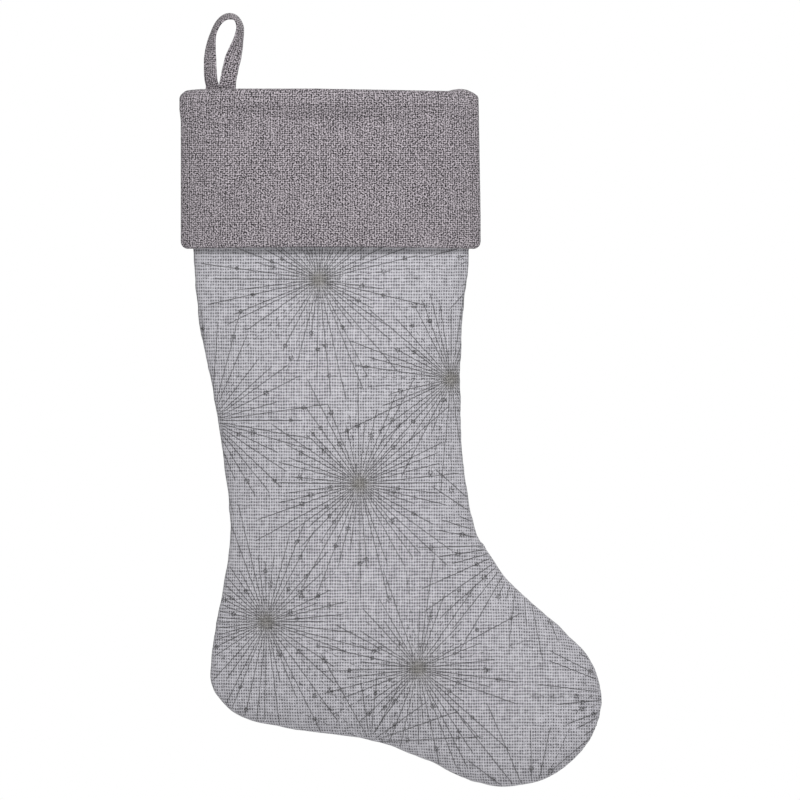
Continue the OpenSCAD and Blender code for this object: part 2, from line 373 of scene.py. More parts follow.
def lining_paint(cloth):
    """Plain close lining cloth, with painted shade in the gaps between its yarns."""
    paint = new_paint("lining_cloth")
    x, _, z = paint.parts(paint.attribute("flat_cloth"))
    pitch = 0.7 * MM
    height, tone, _ = yarns(paint, x, z, pitch, pitch, 0.85, 0.3)
    blotch = paint.noise(paint.vector(x, z), 40.0, 3.0)
    base = tuple(cloth.lining)
    # Painted shade: the gaps between the yarns darken towards six tenths of the lining's colour; the tone
    # and the blotches vary at random
    shade = limit(height * 0.6 + (tone - 0.5) * 0.9 + blotch * 0.4)
    colour = paint.mix(shade, tone_of(base, 0.6), base)
    return paint.finish(colour, 0.75 - height * 0.1, paint.bump(height, 0.12 * MM, 0.6), 0.1)


def thread_paint(name, base, twist_pitch):
    """Twisted thread: slanting strands with painted shade in the grooves between them, and a little change
    of tone.
    """
    paint = new_paint(name)
    spot = paint.node("ShaderNodeTexCoord", out="Object")
    x, y, z = paint.parts(spot)
    strands = ((x + y + z) * (math.tau / twist_pitch)).math("SINE") * 0.5 + 0.5
    tone = paint.noise(spot, 260.0, 3.0)
    fibre = paint.noise(spot, 2400.0, 2.0)
    # Painted shade: the grooves between the strands are darker than their crests; the tone and the fibres
    # vary at random
    shade = limit(strands * 0.45 + tone * 0.7 + (fibre - 0.5) * 0.6)
    colour = paint.mix(shade, tone_of(base, 0.6), tone_of(base, 1.35))
    normal = paint.bump(strands + fibre * 0.5, 0.08 * MM, 0.7)
    return paint.finish(colour, 0.7 + tone * 0.15, normal, 0.15)


def ray_paint(name, base, cloth):
    """Needlework thread on open weave: the cloth's yarns show through it at their crests."""
    paint = new_paint(name)
    x, _, z = paint.parts(paint.node("ShaderNodeTexCoord", out="Object"))
    height, tone, chance = leg_yarns(paint, x, z, cloth)
    fibre = paint.noise(paint.vector(x, z), 2400.0, 2.0)
    wear = limit((height - 0.62) * 2.4) * limit(chance * 2.2 - 0.9) * 0.35
    shade = limit(tone * 0.8 + (fibre - 0.5) * 0.7)
    colour = paint.mix(shade, tone_of(base, 0.4), tone_of(base, 1.6))
    colour = paint.mix(wear, colour, tuple(cloth.leg_light))
    normal = paint.bump(fibre + height, 0.1 * MM, 0.6)
    return paint.finish(colour, 0.78 + fibre * 0.1, normal, 0.1)


def floor_paint(colour):
    """Pale matt floor with a faint grain."""
    paint = new_paint("floor")
    grain = paint.noise(paint.node("ShaderNodeTexCoord", out="Object"), 35.0, 4.0)
    return paint.finish(paint.mix(grain, tone_of(colour, 0.98), colour), 0.8 + grain * 0.1)


# ---------------------------------------------------------------- grids of cloth

def skin_grid(node, side):
    """Rows of points of a cloth node's outer skin, from the mouth to the toe, heel side first."""
    work = bmesh.new()
    work.from_mesh(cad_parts[node].data)
    bmesh.ops.remove_doubles(work, verts=work.verts, dist=1e-6)
    bmesh.ops.recalc_face_normals(work, faces=work.faces)
    # Faces that look inwards go, and those of the rim, which look up
    inner = [f for f in work.faces if f.normal.y * side < 0.02 or f.normal.z > 0.9]
    bmesh.ops.delete(work, geom=inner, context="FACES")
    top = max(v.co.z for v in work.verts)
    row = [v for v in work.verts if v.co.z > top - MM]
    seen, rows = set(row), []
    while row:
        rows.append([tuple(v.co) for v in sorted(row, key=lambda v: v.co.x)])
        row = list({e.other_vert(v) for v in row for e in v.link_edges} - seen)
        seen.update(row)
    work.free()
    if len({len(r) for r in rows}) != 1:
        raise RuntimeError(f"{node} is not a grid of rows")
    return np.array(rows)


def spline(points, places):
    """Smooth curve through the rows of an array, read at fractional row numbers."""
    last = len(points) - 1
    index = np.clip(np.floor(places).astype(int), 0, last - 1)
    u = (places - index).reshape(-1, *[1] * (points.ndim - 1))
    a, b = points[np.maximum(index - 1, 0)], points[index]
    c, d = points[index + 1], points[np.minimum(index + 2, last)]
    return 0.5 * (
        2 * b + (c - a) * u + (2 * a - 5 * b + 4 * c - d) * u ** 2
        + (3 * b - a - 3 * c + d) * u ** 3
    )


def refine(points, count):
    """The same curve or sheet, read at count even places of its rows."""
    return spline(points, np.linspace(0, len(points) - 1, count))


def ramp(value):
    """The value kept between 0 and 1, for arrays."""
    return np.clip(value, 0, 1)


def unit(vectors):
    """Vectors of length 1."""
    return vectors / np.maximum(np.linalg.norm(vectors, axis=-1, keepdims=True), 1e-12)


def run_length(points):
    """Length along an array of points, from its first."""
    steps = np.linalg.norm(np.diff(points, axis=0), axis=-1)
    return np.concatenate([[0.0], np.cumsum(steps)])


def even_places(lengths, count):
    """Fractional indices that share a run of lengths evenly."""
    return np.interp(np.linspace(0, lengths[-1], count), lengths, np.arange(len(lengths)))


def resample(grid, rows, columns, fine=8):
    """The same sheet with evenly spaced rows and columns."""
    dense = refine(grid, (len(grid) - 1) * fine + 1)
    mean_run = np.mean([run_length(dense[:, j]) for j in range(dense.shape[1])], axis=0)
    dense = spline(dense, even_places(mean_run, rows))
    out = []
    for row in dense:
        curve = refine(row, (len(row) - 1) * fine + 1)
        out.append(spline(curve, even_places(run_length(curve), columns)))
    return np.array(out)


def sheet_normals(grid):
    """Unit normals of a grid, on the one side or the other."""
    return unit(np.cross(np.gradient(grid, axis=1), np.gradient(grid, axis=0)))


def grid_normals(grid, side):
    """Outward normals of a grid; side is the sign of y on its outer face."""
    normal = sheet_normals(grid)
    middle = normal[len(grid) // 2, grid.shape[1] // 2, 1]
    return normal * (side if middle > 0 else -side)


def folded_normals(grid):
    """Outward normals of a sheet that folds over itself, set by its outer layer."""
    normal = sheet_normals(grid)
    row, column = len(grid) // 3, grid.shape[1] // 2
    outward = normal[row, column, 1] * grid[row, column, 1]
    return normal * (1 if outward > 0 else -1)


def flat_places(grid):
    """Where each point of a sheet lay when the cloth was flat: rows keep their middles."""
    flat = grid.copy()
    middle = grid.shape[1] // 2
    for i, row in enumerate(grid):
        run = run_length(row)
        across = row[-1] - row[0]
        across[1] = 0.0
        flat[i] = row[middle] + np.outer(run - run[middle], unit(across))
    flat[..., 1] = 0.0
    return flat


def noise_field(grid, scale, shift=0.0):
    """Smooth noise, from -1 to 1, at each point of a grid."""
    points = grid.reshape(-1, 3) * scale + shift
    return np.array([noise.noise(p) for p in points]).reshape(grid.shape[:2])


def turn_outward(mesh):
    """Makes every face of a closed mesh look outwards."""
    work = bmesh.new()
    work.from_mesh(mesh)
    bmesh.ops.recalc_face_normals(work, faces=work.faces)
    work.to_mesh(mesh)
    work.free()


def closed_object(name, points, faces, material, flat=None):
    """A closed, smooth piece, with each point's place on the flat cloth where it has one."""
    mesh = bpy.data.meshes.new(name)
    mesh.from_pydata(points, [], faces)
    if flat is not None:
        places = mesh.attributes.new("flat_cloth", "FLOAT_VECTOR", "POINT")
        places.data.foreach_set("vector", flat.reshape(-1).astype(np.float32))
    made = bpy.data.objects.new(name, mesh)
    bpy.context.collection.objects.link(made)
    turn_outward(mesh)
    mesh.shade_smooth()
    mesh.materials.append(material)
    return made


def sheet_object(name, outer, inner, flat, material):
    """Closed sheet of cloth between two grids, with each point's place on the flat cloth."""
    rows, columns = outer.shape[:2]
    count = rows * columns
    index = np.arange(count).reshape(rows, columns)
    corners = [index[:-1, :-1], index[:-1, 1:], index[1:, 1:], index[1:, :-1]]
    quads = np.stack(corners, -1).reshape(-1, 4)
    rim = np.concatenate([index[0, :-1], index[:-1, -1], index[-1, :0:-1], index[:0:-1, 0]])
    after = np.roll(rim, -1)
    wall = np.stack([after, rim, rim + count, after + count], -1)
    faces = np.concatenate([quads, quads[:, ::-1] + count, wall])
    points = np.concatenate([outer.reshape(-1, 3), inner.reshape(-1, 3)])
    both = np.concatenate([flat, flat])
    return closed_object(name, points.tolist(), faces.tolist(), material, both)


def flat_extent(flat):
    """Width and length of a sheet, as cut."""
    low, high = flat.reshape(-1, 3).min(0), flat.reshape(-1, 3).max(0)
    return float(high[0] - low[0]), float(high[2] - low[2])


def close_on_seam(skins, side, toe):
    """Turns the edges of a half in to the seam's plane: both sides, and the toe end of a leg."""
    for skin in skins:
        skin[:, (0, -1), 1] = side * SEAM_GAP
        if toe:
            skin[-1, :, 1] = side * SEAM_GAP


def hung_half(node, side, grid, outer, thick, material):
    """One half of the leg or of the lining: a closed sheet under its shaped outer skin."""
    inner = outer - grid_normals(outer, side) * thick
    close_on_seam((outer, inner), side, toe=True)
    flat = flat_places(grid)
    made = sheet_object(f"{node}_cloth", outer, inner, flat, material)
    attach(made, "stocking")
    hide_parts(node)
    flat_extent(flat)
    return made


# ---------------------------------------------------------------- leg

LEG_ROWS, LEG_COLUMNS = 320, 120


def edge_distance(grid):
    """Distance of each point from the leg's seam, and the place along that seam."""
    heel = np.array([run_length(row) for row in grid])
    toe = heel[:, -1:] - heel
    end = np.array([run_length(column[::-1])[::-1] for column in grid.transpose(1, 0, 2)]).T
    along_heel = run_length(grid[:, 0])[:, None] + 0 * heel
    along_toe = run_length(grid[:, -1])[:, None] + 0 * heel + 1.0
    near = np.minimum(np.minimum(heel, toe), end)
    return near, np.where(heel < toe, along_heel, along_toe)


def shape_leg(grid, side, cloth):
    """Puckers along the seam, broad waves, a turned-in edge and a dent under the cuff's hem."""
    normal = grid_normals(grid, side)
    near, place = edge_distance(grid)
    ripple = np.sin(place / (8.5 * MM) * math.tau + 3.0 * noise_field(grid, 45.0, 7.0))
    uneven = 0.55 + 0.9 * noise_field(grid, 38.0, 2.0 + side)
    fade = np.exp(-near / (9 * MM)) * ramp(near / (1.5 * MM))
    lift = cloth.pucker * ripple * uneven * fade
    inside = ramp(near / (30 * MM))
    lift += cloth.sway * inside * noise_field(grid, 13.0, 20.0 + side)
    lift += 0.35 * cloth.sway * inside * noise_field(grid, 34.0, 31.0 + side)
    # Turned seam: the cloth rolls in over its last stretch
    lift -= 0.5 * MM * np.exp(-(near / (1.3 * MM)) ** 2)
    # The hem of the cuff presses the cloth in a little
    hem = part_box("cuff_front")[0].z
    lift -= 0.7 * MM * inside * np.exp(-((grid[..., 2] - hem) / (9 * MM)) ** 2)
    return grid + normal * lift[..., None] + seam_wander(grid)


def seam_wander(grid):
    """The seam isn't sewn quite straight: small steps of the outline, the same on both halves."""
    out = np.zeros_like(grid)
    for end in (0, -1):
        rim = grid[:, end]
        across = unit((rim - grid[:, grid.shape[1] // 2]) * (1, 0, 1))
        amount = [
            noise.noise((x * 70, 0, z * 70)) + 0.5 * noise.noise((x * 180, 4, z * 180))
            for x, _, z in rim
        ]
        away = np.linalg.norm(grid - rim[:, None], axis=2)
        from_mouth = ramp(run_length(grid[:, end]) / (60 * MM))[:, None]
        fade = np.exp(-away / (7 * MM)) * from_mouth
        out += across[:, None] * (np.array(amount)[:, None] * fade)[..., None] * 0.7 * MM
    return out


def hub_centre(node):
    """Middle of a starburst's dense part."""
    low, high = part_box(node)
    return (low + high) / 2


def tint_hubs(made, side):
    """How much of a starburst's colour has gone into each point of the front cloth."""
    count = len(made.data.vertices)
    places = np.zeros(count * 3)
    made.data.vertices.foreach_get("co", places)
    places = places.reshape(-1, 3)
    amount = np.zeros(count)
    if side == FRONT:
        for node in HUBS:
            centre = hub_centre(node)
            away = np.hypot(places[:, 0] - centre.x, places[:, 2] - centre.z)
            amount += 0.9 * np.exp(-(away / (5 * MM)) ** 2) + 0.3 * np.exp(-(away / (16 * MM)) ** 2)
    store = made.data.attributes.new("hub_tint", "FLOAT", "POINT")
    store.data.foreach_set("value", ramp(amount).astype(np.float32))


class STOCKING_OT_leg(bpy.types.Operator):
    """Make the front and back panels of the leg and foot."""

    bl_idname = "stocking.leg"
    bl_label = "Leg panels"

    def execute(self, context):
        cloth = context.scene.stocking_cloth
        material = leg_cloth_paint(cloth, tuple(context.scene.stocking_thread.hub_colour))
        for half, side in HALVES:
            node = f"leg_{half}"
            grid = resample(skin_grid(node, side), LEG_ROWS, LEG_COLUMNS)
            outer = shape_leg(grid, side, cloth)
            made = hung_half(
                node, side, grid, outer, cloth.leg_thick, material,
            )
            tint_hubs(made, side)
        return {"FINISHED"}


# ---------------------------------------------------------------- lining

LINING_ROWS, LINING_COLUMNS = 200, 70


class STOCKING_OT_lining(bpy.types.Operator):
    """Make the two halves of the lining."""

    bl_idname = "stocking.lining"
    bl_label = "Lining"

    def execute(self, context):
        cloth = context.scene.stocking_cloth
        material = lining_paint(cloth)
        for half, side in HALVES:
            node = f"lining_{half}"
            grid = resample(skin_grid(node, side), LINING_ROWS, LINING_COLUMNS)
            outer = self.shape(grid, side)
            hung_half(
                node, side, grid, outer, cloth.lining_thick, material,
            )
        return {"FINISHED"}

    def shape(self, grid, side):
        """Loose folds hang down from the mouth, all of them on the inside."""
        near, _ = edge_distance(grid)
        long_folds = noise_field(grid * (1, 1, 0.22), 42.0, 50.0 + side)
        slack = long_folds + 0.4 * noise_field(grid, 26.0, 60.0) - 0.8
        below = ramp((grid[..., 2].max() - grid[..., 2]) / (22 * MM))
        free = ramp(near / (12 * MM))
        return grid + grid_normals(grid, side) * (1.3 * MM * slack * below * free)[..., None]


# ---------------------------------------------------------------- cuff

CUFF_ROWS, CUFF_COLUMNS = 230, 200
CUFF_DEPTH = 21 * MM
LENS_POWER = 0.65

# Room between the cuff and the mouth that it folds over, and the roll's height above the rim
MOUTH_INSET = 1.5 * MM
MOUTH_ROOM = 0.6 * MM
ROLL_RISE = 1.6 * MM


def lens(s):
    """Depth of the padded cuff across its width, as a share of its middle's."""
    return np.maximum(0.0, 1 - (2 * s - 1) ** 2) ** LENS_POWER


def even_shares(width, depth):
    """Shares of the cuff's width that are evenly spaced round its curve."""
    fine = 400
    share = np.linspace(0, 1, fine)
    curve = np.stack([share * width, lens(share) * depth], -1)
    return even_places(run_length(curve), CUFF_COLUMNS) / (fine - 1)


def cuff_rails(top, hem):
    """Profile of the folded cuff: share from the outer skin to the mouth, and height."""
    rail = [
        (1.02, top - 7 * MM), (1.0, top - 3 * MM), (0.93, top - 0.9 * MM), (0.72, top - 0.1 * MM),
        (0.45, top + 0.3 * MM), (0.22, top - 0.2 * MM), (0.08, top - 1.8 * MM), (0.01, top - 5 * MM),
        (0.0, top - 10 * MM), (0.0, top - 30 * MM), (0.0, (top + hem) / 2), (0.0, hem + 30 * MM),
        (0.0, hem + 10 * MM), (0.0, hem + 4.5 * MM), (0.03, hem + 1.6 * MM), (0.11, hem + 0.2 * MM),
        (0.19, hem), (0.27, hem + 0.3 * MM), (0.34, hem + 1.8 * MM), (0.37, hem + 5 * MM),
        (0.37, hem + 20 * MM), (0.37, (top + hem) / 2), (0.37, top - 8 * MM),
    ]
    rail = np.array(rail)
    dense = refine(rail, 40 * len(rail))
    mean_depth = 7.0 * MM
    run = run_length(np.stack([dense[:, 0] * mean_depth, dense[:, 1]], -1))
    return spline(dense, even_places(run, CUFF_ROWS)), run[-1]


class STOCKING_OT_cuff(bpy.types.Operator):
    """Make the two halves of the doubled, turned-down cuff."""

    bl_idname = "stocking.cuff"
    bl_label = "Cuff"

    def execute(self, context):
        cloth = context.scene.stocking_cloth
        material = cuff_cloth_paint(cloth)
        for half, side in HALVES:
            self.half(f"cuff_{half}", side, cloth, material)
        return {"FINISHED"}

    def half(self, node, side, cloth, material):
        """One half: folded rails swept over the width, then worn in."""
        low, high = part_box(node)
        mouth = skin_grid("lining_front", FRONT)[0]
        rails, run = cuff_rails(high.z + ROLL_RISE, low.z)
        s = even_shares(high.x - low.x, CUFF_DEPTH)
        # Heel end, toe end and depth, outside and at the mouth
        cuff = np.array([low.x, high.x, high.y - low.y])
        rim = np.array([
            mouth[0, 0] + MOUTH_INSET, mouth[-1, 0] - MOUTH_INSET, -mouth[:, 1].min() - MOUTH_ROOM,
        ])
        share = rails[:, :1]
        skin = cuff * (1 - share) + rim * share
        x = skin[:, :1] * (1 - s) + skin[:, 1:2] * s
        y = side * skin[:, 2:3] * lens(s)
        z = rails[:, 1:2] + 0 * x
        grid = np.stack([x, y, z], -1)
        outer = self.soften(grid, side, low, high, s)
        inner = outer - folded_normals(outer) * cloth.cuff_thick
        close_on_seam((outer, inner), side, toe=False)
        flat = np.zeros_like(grid)
        across = run_length(grid[len(grid) // 3])
        flat[..., 0] = across - across[-1] / 2
        flat[..., 2] = -np.linspace(0, run, len(grid))[:, None]
        made = sheet_object(f"{node}_cloth", outer, inner, flat, material)
        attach(made, "stocking")
        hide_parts(node)

    def soften(self, grid, side, low, high, s):
        """Worn-in shape: rounded corners, an ear at the toe side, a dent under the rim, slow waves."""
        out = grid.copy()
        drop = high.z - grid[..., 2]
        edge = np.abs(2 * s - 1)[None, :] ** 10
        corner = ramp(1 - drop / (5 * MM)) ** 2 * edge
        heel = (s < 0.5)[None, :]
        out[..., 0] += np.where(heel, 1.2, -0.4) * MM * corner
        out[..., 2] -= np.where(heel, 0.9, 1.6) * MM * corner
        foot = ramp(1 - (grid[..., 2] - low.z) / (5 * MM)) ** 2 * edge
        out[..., 0] += np.where(heel, 1.6, -1.6) * MM * foot
        arch = ramp(1 - np.abs(2 * s - 1) ** 2)[None, :]
        near_hem = ramp(1 - (grid[..., 2] - low.z) / (25 * MM))
        out[..., 2] += 1.2 * MM * arch * near_hem
        # The cloth rolls over the mouth's seam, with a soft crease under the roll
        sink = (13 + 7 * ramp(s * 2.6) ** 2)[None, :] * MM
        below = np.where(drop < sink, 5.5 * MM, 22 * MM)
        deep = (0.6 + 0.6 * np.exp(-((s - 0.5) / 0.22) ** 2))[None, :]
        crease = np.exp(-((drop - sink) / below) ** 2) * deep
        roll = np.exp(-((drop - 6 * MM) / (5.5 * MM)) ** 2)
        flare = np.exp(-(grid[..., 2] - low.z) / (14 * MM))
        waves = noise_field(grid, 17.0, 60.0 + side) + noise_field(grid, 42.0, 71.0 + side) * 0.35
        settle = ramp(drop / (6 * MM))
        lift = settle * (0.6 * waves - 3.0 * crease + 2.4 * roll + 2.2 * flare) * MM
        out[..., 1] += side * lift * arch
        # The heel side draws in under the roll, the toe side towards the rim
        end = (np.abs(2 * s - 1) ** 6)[None, :]
        under = ramp((drop - 12 * MM) / (7 * MM))
        above = ramp(1 - drop / (80 * MM))
        out[..., 0] += end * MM * np.where(heel, 0.9 * under, -1.4 * above)
        rim = ramp(1 - drop / (12 * MM))
        ear = 1.9 * np.exp(-((s - 0.972) / 0.028) ** 2) - 1.3 * ramp((s - 0.45) / 0.4)
        out[..., 2] += MM * rim * ear[None, :]
        rough = noise_field(grid, 420.0, 90.0 + side)
        out += grid_normals(out, side) * (0.12 * MM * rough)[..., None]
        return out


# ---------------------------------------------------------------- loop

STRAP_RINGS, STRAP_SIDES = 260, 28

# Middle line of the strap in millimetres: x, y, z, then the turn of its face in degrees
STRAP_LINE = np.array([
    (-10.8, 2.6, -76, 0), (-11, 1.8, -66, 0), (-11, 1.2, -56, 4), (-11.3, 0.9, -44, 34),
    (-12.5, 0.6, -38, 42), (-12.9, 0.2, -27, 43), (-12.4, 0, -16, 60), (-10.6, 0, -8.4, 73),
    (-7.4, 0, -1.8, 74), (-3.6, 0, 1.8, 73), (0.4, 0, 2.7, 72), (4.2, 0, 1.2, 76),
    (6.4, 0, -3.6, 69), (6.3, 0, -8.6, 62), (4.7, 0, -16, 46), (1.5, 0, -27, 12),
    (-0.9, -0.5, -38, 2), (-1.6, -0.9, -44, 0), (-1.7, 0, -56, 0), (-1.7, 1.6, -66, 0), (-1.7, 2.6, -76, 0),
])


def strap_shape():
    """The strap's middle line, evenly spaced, and its length."""
    dense = refine(STRAP_LINE, 40 * len(STRAP_LINE))
    run = run_length(dense[:, :3])
    return spline(dense, even_places(run, STRAP_RINGS)), run[-1] * MM


class STOCKING_OT_loop(bpy.types.Operator):
    """Make the hanging loop and its tails, one folded strap of the cuff's cloth."""

    bl_idname = "stocking.loop"
    bl_label = "Hanging loop"

    def execute(self, context):
        cloth = context.scene.stocking_cloth
        width, thick = 10.7 * MM, 1.9 * MM
        line, length = strap_shape()
        middle = line[:, :3] * MM
        run = unit(np.gradient(middle, axis=0) * (1, 0, 1))
        side = np.stack([-run[:, 2], 0 * run[:, 1], run[:, 0]], -1)
        turn = np.radians(line[:, 3])[:, None]
        depth = np.array([0.0, 1.0, 0.0])
        wide = np.cos(turn) * side + np.sin(turn) * depth
        thin = np.cos(turn) * depth - np.sin(turn) * side
        angle = np.linspace(0, math.tau, STRAP_SIDES, endpoint=False)
        flat_x = np.sign(np.cos(angle)) * np.abs(np.cos(angle)) ** 0.35 * width / 2
        flat_y = np.sign(np.sin(angle)) * np.abs(np.sin(angle)) ** 0.7 * thick / 2
        places = np.linspace(0, length, len(line))
        # The weave runs over both faces of the strap and turns back at its edges
        outline = np.stack([flat_x, flat_y], -1)
        round_trip = run_length(np.concatenate([outline, outline[:1]]))
        woven = np.minimum(round_trip[:-1], round_trip[-1] - round_trip[:-1])
        rings, flats = [], []
        for i, centre in enumerate(middle):
            soft = 1 + 0.05 * noise.noise((places[i] * 160, 0, 4))
            bow = 0.25 * MM * noise.noise((places[i] * 90, 3, 8))
            depths = flat_y * (1 + 0.15 * flat_x / width) + bow
            rings.append(centre + np.outer(flat_x * soft, wide[i]) + np.outer(depths, thin[i]))
            flats.append(np.stack([woven, 0 * woven, 0 * woven + places[i]], -1))
        strap = tube_object("loop_strap", np.array(rings), np.array(flats), cuff_cloth_paint(cloth))
        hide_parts("hanging_loop", "loop_tails")
        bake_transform(strap)
        return {"FINISHED"}


def tube_object(name, rings, flats, material):
    """Closed rod through rings of points, with flat-cloth places."""
    count, sides = rings.shape[:2]
    index = np.arange(count * sides).reshape(count, sides)
    after = np.roll(index, -1, axis=1)
    quads = np.stack([index[:-1], after[:-1], after[1:], index[1:]], -1).reshape(-1, 4).tolist()
    faces = quads + [index[0, ::-1].tolist(), index[-1].tolist()]
    return closed_object(name, rings.reshape(-1, 3).tolist(), faces, material, flats)


# ---------------------------------------------------------------- needlework

# Starbursts past the seam, of which only rays show: name, shares across and up the leg's box,
# and how many rays they have for each one of a whole starburst
EDGE_BURSTS = (
    ("edge_burst_heel", 0.048, 0.529, 0.8), ("edge_burst_instep", 0.80, 0.35, 0.8),
    ("edge_burst_sole", 0.83, -0.032, 0.45), ("edge_burst_toe", 1.09, 0.131, 1.0),
    ("edge_burst_top", 0.80, 0.80, 1.0), ("edge_burst_arch", 0.435, 0.065, 0.35),
)

# Rounds of stitches in a dense middle: from and to, in shares of its radius, and how many
HUB_ROUNDS = ((0.1, 0.4, 7), (0.4, 0.95, 18), (0.85, 1.4, 26))

RAY_STEP = 1.6 * MM
KNOT_STITCHES = 7
THREAD_SIDES = 5
FIRST_SEED = 40


class Needle:
    """Sews a starburst on the front cloth, with a seeded scatter, and gathers its threads."""

    def __init__(self, skin, thread, seed):
        self.skin = skin
        self.thread = thread
        self.random = np.random.default_rng(seed)
        self.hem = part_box("cuff_front")[0].z + 2 * MM
        self.points = []
        self.faces = []
        self.slots = []
        self.slot = 0

    def on_cloth(self, x, z):
        """Point and outward normal of the cloth at x, z, or None off the cloth or under the cuff."""
        if z > self.hem:
            return None
        point, normal, _, _ = self.skin.ray_cast(Vector((x, -0.1, z)), Vector((0, 1, 0)))
        if point is None or point.y > -0.8 * MM or abs(normal.y) < 0.2:
            return None
        return point, normal if normal.y < 0 else -normal

    def turn(self, number, count, scatter):
        """Angle of one of count like things round a middle."""
        return math.tau * (number + self.random.uniform(-scatter, scatter)) / count

    def rays(self, x, z, share):
        """The rays of a starburst, each with a knot or none."""
        random, thread = self.random, self.thread
        count = round(thread.rays * share)
        for k in range(count):
            angle = self.turn(k, count, 0.24)
            length = thread.ray * random.uniform(0.45, 1.0)
            start = (random.uniform(0.55, 1.0) + 0.7 * (k % 2)) * thread.hub
            dashed = random.random() < 0.12
            knots = random.uniform(0.35, 1.0, random.integers(0, 2)) * length
            along, up = math.cos(angle), math.sin(angle)
            self.ray((x, z), along, up, start, length, dashed)
            for reach in knots:
                spot = self.on_cloth(x + along * reach, z + up * reach)
                if spot:
                    self.knot(spot[0])

    def ray(self, centre, along, up, start, length, dashed):
        """A ray that strays a little and is finer near the middle; dashes leave out each fourth step."""
        run = []
        reach, count = start, 0
        while reach < length:
            stray = self.random.normal(0, 0.1 * MM)
            spot = self.on_cloth(
                centre[0] + along * reach - up * stray,
                centre[1] + up * reach + along * stray,
            )
            gap = dashed and count % 4 == 3
            if spot and not gap:
                radius = self.thread.radius * min(1.0, 0.55 + reach / (42 * MM))
                run.append((spot[0] + spot[1] * radius * 0.7, radius))
            elif run:
                self.lay(run)
                run = []
            reach += RAY_STEP
            count += 1
        self.lay(run)

    def stitch(self, x, z, angle, near, far, radius):
        """One short stitch outwards from x, z, arched a little."""
        along, up = math.cos(angle), math.sin(angle)
        run = []
        for share in (0.0, 0.3, 0.7, 1.0):
            reach = near + (far - near) * share
            spot = self.on_cloth(x + along * reach, z + up * reach)
            if spot:
                run.append((spot[0] + spot[1] * radius * (0.4 + 2.4 * share * (1 - share)), radius))
        self.lay(run)

    def knot(self, middle):
        """A small rosette of stitches."""
        first = self.random.uniform(0, math.tau)
        reach = self.thread.knot * self.random.uniform(0.7, 1.1)
        for k in range(KNOT_STITCHES):
            angle = first + self.turn(k, KNOT_STITCHES, 0.2)
            far = reach * self.random.uniform(0.8, 1.1)
            self.stitch(middle.x, middle.z, angle, reach * 0.42, far, self.thread.radius * 1.5)

    def hub(self, x, z):
        """Dense middle: short stitches that run outwards in rounds."""
        self.slot = 1
        for inner, outer, count in HUB_ROUNDS:
            for k in range(count):
                angle = self.turn(k, count, 0.3)
                near = self.thread.hub * inner * self.random.uniform(0.8, 1.2)
                far = self.thread.hub * outer * self.random.uniform(0.85, 1.15)
                self.stitch(x, z, angle, near, far, self.thread.radius * 0.7)

    def lay(self, run):
        """A closed thread along a run of points, each with the thread's radius there."""
        if len(run) < 2:
            return
        base, last = len(self.points), len(run) - 1
        for i, (point, radius) in enumerate(run):
            ahead = (run[min(i + 1, last)][0] - run[max(i - 1, 0)][0]).normalized()
            side = ahead.cross(Vector((0, -1, 0))).normalized()
            out = side.cross(ahead)
            taper = 0.55 if i in (0, last) else 1.0
            for k in range(THREAD_SIDES):
                turn = math.tau * k / THREAD_SIDES
                away = side * math.cos(turn) + out * math.sin(turn)
                self.points.append(tuple(point + away * radius * taper))
        ring = list(range(base, base + THREAD_SIDES))
        end = [corner + last * THREAD_SIDES for corner in ring]
        made = []
        for i in range(last):
            here = [corner + i * THREAD_SIDES for corner in ring]
            for a, b in zip(here, here[1:] + here[:1]):
                made.append([a, b, b + THREAD_SIDES, a + THREAD_SIDES])
        made += [ring[::-1], end]
        self.faces += made
        self.slots += [self.slot] * len(made)

    def piece(self, name, material):
        """The threads as one piece."""
        if not self.faces:
            raise RuntimeError(f"no thread of {name} lies on the cloth")
        made = closed_object(name, self.points, self.faces, material)
        made.data.polygons.foreach_set("material_index", self.slots)
        return made


class STOCKING_OT_needlework(bpy.types.Operator):
    """Sew the starbursts on the front of the leg and foot."""

    bl_idname = "stocking.needlework"
    bl_label = "Starbursts"

    def execute(self, context):
        thread = context.scene.stocking_thread
        front = bpy.data.objects.get("leg_front_cloth")
        if front is None:
            raise RuntimeError("the leg's front cloth has to be made before its needlework")
        mesh = front.data
        skin = BVHTree.FromPolygons([v.co for v in mesh.vertices], [p.vertices for p in mesh.polygons])
        cloth = context.scene.stocking_cloth
        material = ray_paint("needlework", tuple(thread.colour), cloth)
        hub_material = ray_paint("needlework_hub", tuple(thread.hub_colour), cloth)
        low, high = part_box("leg_front")
        places = [(node, hub_centre(node).x, hub_centre(node).z, 1.0) for node in HUBS]
        for name, across, up, share in EDGE_BURSTS:
            places.append((name, low.x + across * (high.x - low.x), low.z + up * (high.z - low.z), share))
        for number, (name, x, z, share) in enumerate(places):
            whole = name in HUBS
            needle = Needle(skin, thread, FIRST_SEED + number)
            needle.rays(x, z, share)
            if whole:
                needle.hub(x, z)
            made = needle.piece(name + "_stitches" if whole else name, material)
            made.data.materials.append(hub_material)
            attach(made, "stocking")
            if whole:
                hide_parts(name)
        return {"FINISHED"}


# ---------------------------------------------------------------- sewing threads

SEWN_NODES = (
    "leg_seam_thread", "lining_seam_thread", "mouth_seam_thread", "cuff_seam_heel",
    "cuff_seam_toe", "loop_tack",
)


class STOCKING_OT_threads(bpy.types.Operator):
    """Give the hidden sewing threads and the loop's bar tack their thread."""

    bl_idname = "stocking.threads"
    bl_label = "Sewing threads"

    def execute(self, context):
        thread = context.scene.stocking_thread
        material = thread_paint("sewing_thread", tuple(thread.sewing), 1.2 * MM)
        for node in SEWN_NODES:
            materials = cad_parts[node].data.materials
            materials.clear()
            materials.append(material)
        return {"FINISHED"}


# ---------------------------------------------------------------- stage

